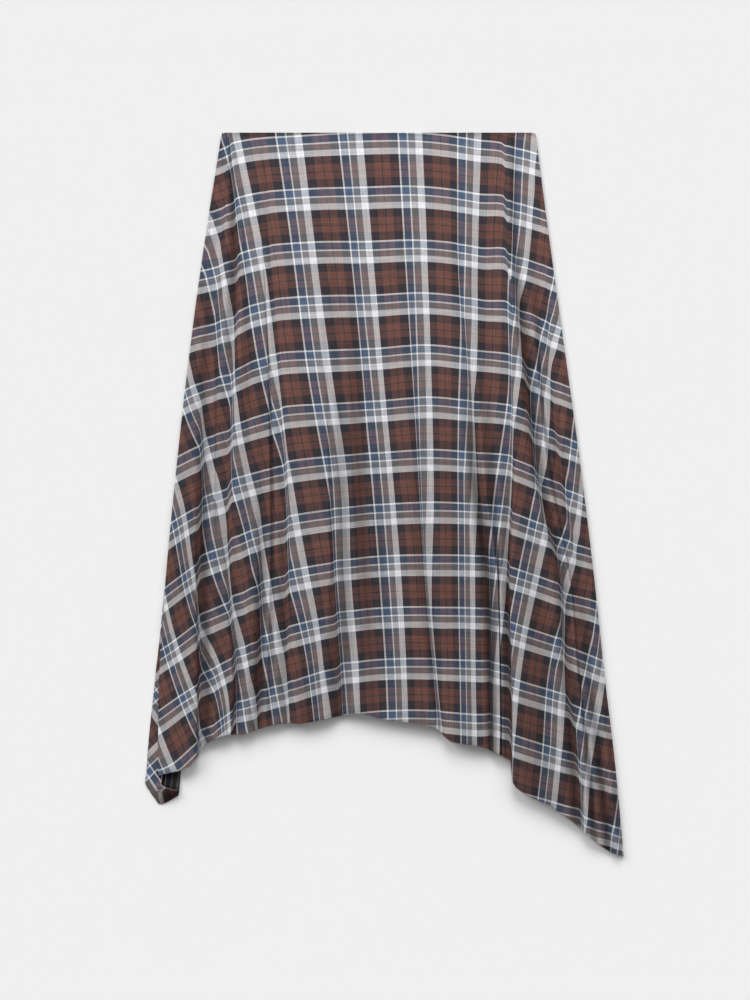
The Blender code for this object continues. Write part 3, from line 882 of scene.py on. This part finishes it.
def spread(table, steps):
    """A table's columns, with steps evenly spread between its rows."""
    table = np.array(table)
    rows = np.arange(len(table))
    spots = np.linspace(0, len(table) - 1, steps * (len(table) - 1) + 1)
    return [np.interp(spots, rows, column) for column in table.T]


def back_surface():
    """Points in metres and cloth places in repeats of the back panel, which lies flat."""
    left, right = (row[1:] for row in BACK_SIDES)
    shares = np.linspace(0.0, 1.0, BACK_ROWS)
    points, cloth = [], []
    for across, hem in zip(*spread(BACK_HEM, BACK_STEPS)):
        start, end = along(left, hem), along(right, hem)
        place = (across - start) / (end - start)
        down = DOWN[0] + shares * (hem - DOWN[0])
        start, end = along(left, down), along(right, down)
        across = start + (end - start) * place
        points.append(places_of(across, down, BACK_HEIGHT))
        warp, weft = (across - CENTRE_ACROSS) / WARP_REPEAT, (down - DOWN[0]) / WEFT_REPEAT
        cloth.append(looks_of(warp, weft, 1.0))
    return np.stack(points, axis=1), np.stack(cloth, axis=1)


def corner_cloth(across, down):
    """The plaid's repeats at a place on the turned corner, where it runs slantwise."""
    right, low = across - SLANT_POINT[0], down - SLANT_POINT[1]
    warp, weft = (
        there + change * (to_right * right + to_low * low)
        for there, change, to_right, to_low in (SLANT_WARP, SLANT_WEFT)
    )
    warp -= SLANT_SLOWER * np.maximum(warp - SLANT_NAVY_END, 0.0)
    past = (across - TIP_POINT[0]) * TIP_DIRECTION[0] + (down - TIP_POINT[1]) * TIP_DIRECTION[1]
    tip = ease(past / TIP_BLEND + 0.5)
    tip_warp = np.interp(across - TIP_LEAN * (down - TIP_LEVEL), TIP_WARP_PLACES, TIP_WARP)
    warp += (tip_warp - warp) * tip
    weft += (TIP_WEFT - weft) * tip
    shade = 1.0 - SHADE[-1] - tip * np.interp(across, TIP_SHADE_PLACES, TIP_SHADES)
    return looks_of(warp - WARP_START, weft - WEFT_START, shade)


def corner_surface(settings):
    """Points and cloth places of the turned corner, whose inner edge is turned under."""
    table = spread(CORNER, CORNER_STEPS)
    outer_across, outer_down, inner_across, inner_down, outer, crown, inner = table
    points, cloth = [], []
    for place in np.linspace(0.0, 1.0, CORNER_ROWS):
        across = outer_across + (inner_across - outer_across) * place
        down = outer_down + (inner_down - outer_down) * place
        height = outer + (inner - outer) * ease(place) + crown * math.sin(math.pi * place)
        points.append(places_of(across, down, height * MILLIMETRE))
        cloth.append(corner_cloth(across, down))
    return roll_rows(np.stack(points), np.stack(cloth), settings.roll, "last", CORNER_HIGHLIGHT)


def hollow_surface(settings):
    """Points and cloth places of the shaded reverse inside the turned corner."""
    left, right, down, height = np.transpose(HOLLOW)
    points, cloth = [], []
    for place in np.linspace(0.0, 1.0, HOLLOW_COLUMNS):
        across = left + (right - left) * place
        points.append(places_of(across, down, height * MILLIMETRE))
        slant = across - REVERSE_POINT[0] + REVERSE_LEAN * (down - REVERSE_POINT[1])
        warp = REVERSE_START - WARP_START + REVERSE_SCALE * slant
        cloth.append(looks_of(warp, REVERSE_WEFT - WEFT_START, settings.reverse_shade))
    return np.stack(points, axis=1), np.stack(cloth, axis=1)


def floor_piece(paint, reach):
    """A wide flat floor."""
    work = bmesh.new()
    bmesh.ops.create_grid(work, x_segments=1, y_segments=1, size=reach)
    mesh = bpy.data.meshes.new("floor")
    work.to_mesh(mesh)
    work.free()
    floor = bpy.data.objects.new("floor", mesh)
    bpy.context.scene.collection.objects.link(floor)
    floor.data.materials.append(paint)
    return floor


class ClothSettings(bpy.types.PropertyGroup):
    """Sizes of the cloth and colours of its yarns."""

    wall: FloatProperty(
        name="Cloth", description="Thickness of the cloth", default=0.0005, unit="LENGTH"
    )
    rest: FloatProperty(
        name="Rest",
        description="Height of the front panel where it lies",
        default=0.0022,
        unit="LENGTH",
    )
    roll: FloatProperty(
        name="Roll", description="Radius of the turned hems", default=0.0009, unit="LENGTH"
    )
    reverse_shade: FloatProperty(
        name="Reverse", description="How light the cloth is inside the turned corner", default=0.13
    )
    warp_yarns: IntProperty(name="Warp yarns", description="Yarns in a warp repeat", default=92)
    weft_yarns: IntProperty(name="Weft yarns", description="Yarns in a weft repeat", default=80)
    white_line: FloatVectorProperty(
        name="White line",
        description="Thin white lines",
        subtype="COLOR_GAMMA",
        default=(1.0, 1.0, 1.0),
    )
    # The colour of the painted highlight along the turned edges of the hems and the corner.
    edge: FloatVectorProperty(
        name="Edge",
        description="Worn edges of the hems",
        subtype="COLOR_GAMMA",
        default=(0.78, 0.70, 0.67),
    )
    navy: FloatVectorProperty(
        name="Navy",
        description="Navy bands",
        subtype="COLOR_GAMMA",
        default=(0.338, 0.403, 0.50),
    )
    grey: FloatVectorProperty(
        name="Grey",
        description="Mixed grey bands",
        subtype="COLOR_GAMMA",
        default=(0.53, 0.52, 0.535),
    )
    light: FloatVectorProperty(
        name="Light",
        description="Light bands",
        subtype="COLOR_GAMMA",
        default=(0.955, 0.96, 0.97),
    )
    dark: FloatVectorProperty(
        name="Dark",
        description="Dark bands",
        subtype="COLOR_GAMMA",
        default=(0.250, 0.235, 0.255),
    )
    rust: FloatVectorProperty(
        name="Rust",
        description="Rust brown bands",
        subtype="COLOR_GAMMA",
        default=(0.462, 0.326, 0.294),
    )


class StageSettings(bpy.types.PropertyGroup):
    """The floor and the camera."""

    floor: FloatVectorProperty(
        name="Floor", description="Floor colour", subtype="COLOR", default=(0.89, 0.89, 0.89)
    )
    camera_height: FloatProperty(
        name="Camera height",
        description="Height of the camera",
        default=3.2083,
        unit="LENGTH",
    )
    lens: FloatProperty(name="Lens", description="Focal length in millimetres", default=100.0)


class SKIRT_OT_front(bpy.types.Operator):
    """Make the folded front panel"""

    bl_idname = "skirt.front"
    bl_label = "Front panel"

    def execute(self, context):
        settings = context.scene.skirt_cloth
        piece = grid_piece("front_cloth", *front_surface(settings), settings)
        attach(piece, "root")
        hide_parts("front_panel")
        return {"FINISHED"}


class SKIRT_OT_back(bpy.types.Operator):
    """Make the smooth back panel"""

    bl_idname = "skirt.back"
    bl_label = "Back panel"

    def execute(self, context):
        piece = grid_piece("back_cloth", *back_surface(), context.scene.skirt_cloth)
        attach(piece, "root")
        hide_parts("back_panel")
        return {"FINISHED"}


class SKIRT_OT_corner(bpy.types.Operator):
    """Make the turned left corner and the reverse that shows inside it"""

    bl_idname = "skirt.corner"
    bl_label = "Turned corner"

    def execute(self, context):
        settings = context.scene.skirt_cloth
        piece = grid_piece("corner_cloth", *corner_surface(settings), settings)
        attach(piece, "root")
        piece = grid_piece("corner_reverse", *hollow_surface(settings), settings)
        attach(piece, "root")
        return {"FINISHED"}


class SKIRT_OT_stage(bpy.types.Operator):
    """Make the floor, the lights and the camera"""

    bl_idname = "skirt.stage"
    bl_label = "Stage"

    def execute(self, context):
        settings = context.scene.skirt_stage
        paint = Finish("floor_paint")
        paint.set(Base_Color=(*settings.floor, 1.0), Roughness=0.9, Specular_IOR_Level=0.1)
        floor_piece(paint.material, FLOOR_REACH)
        world = bpy.data.worlds.new("studio")
        world.use_nodes = True
        sky = world.node_tree.nodes["Background"].inputs
        sky["Color"].default_value = (1.0, 1.0, 1.0, 1.0)
        sky["Strength"].default_value = SKY_LIGHT
        context.scene.world = world
        for name, place, power, spread_angle in LIGHTS:
            light = bpy.data.lights.new(name, "SUN")
            light.energy = power
            light.angle = math.radians(spread_angle)
            lamp = bpy.data.objects.new(name, light)
            lamp.location = place
            lamp.rotation_euler = Vector(place).to_track_quat("Z", "Y").to_euler()
            context.scene.collection.objects.link(lamp)
        view = bpy.data.cameras.new("camera")
        view.lens = settings.lens
        view.sensor_fit = "AUTO"
        view.clip_end = VIEW_END
        camera = bpy.data.objects.new("camera", view)
        camera.location = (*on_page(VIEW_ACROSS, VIEW_DOWN), settings.camera_height)
        context.scene.collection.objects.link(camera)
        context.scene.camera = camera
        context.scene.view_settings.view_transform = "Standard"
        return {"FINISHED"}


class SKIRT_PT_panel(bpy.types.Panel):
    """The skirt's pieces and sizes"""

    bl_label = "Skirt"
    bl_idname = "SKIRT_PT_panel"
    bl_space_type = "VIEW_3D"
    bl_region_type = "UI"
    bl_category = "Skirt"

    def draw(self, context):
        cloth = context.scene.skirt_cloth
        for name in ("wall", "roll", "light", "grey", "navy", "rust", "dark"):
            self.layout.prop(cloth, name)
        for operator in OPERATORS:
            self.layout.operator(operator.bl_idname)
        self.layout.prop(context.scene.skirt_stage, "floor")


OPERATORS = (SKIRT_OT_back, SKIRT_OT_front, SKIRT_OT_corner, SKIRT_OT_stage)
CLASSES = (ClothSettings, StageSettings, *OPERATORS, SKIRT_PT_panel)


def register():
    for made in CLASSES:
        bpy.utils.register_class(made)
    bpy.types.Scene.skirt_cloth = PointerProperty(type=ClothSettings)
    bpy.types.Scene.skirt_stage = PointerProperty(type=StageSettings)


def unregister():
    del bpy.types.Scene.skirt_stage
    del bpy.types.Scene.skirt_cloth
    for made in reversed(CLASSES):
        bpy.utils.unregister_class(made)


def main():
    """Makes every piece."""
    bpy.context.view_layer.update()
    register()
    bpy.ops.skirt.stage()
    bpy.ops.skirt.back()
    bpy.ops.skirt.front()
    bpy.ops.skirt.corner()


if __name__ == "__main__":
    main()
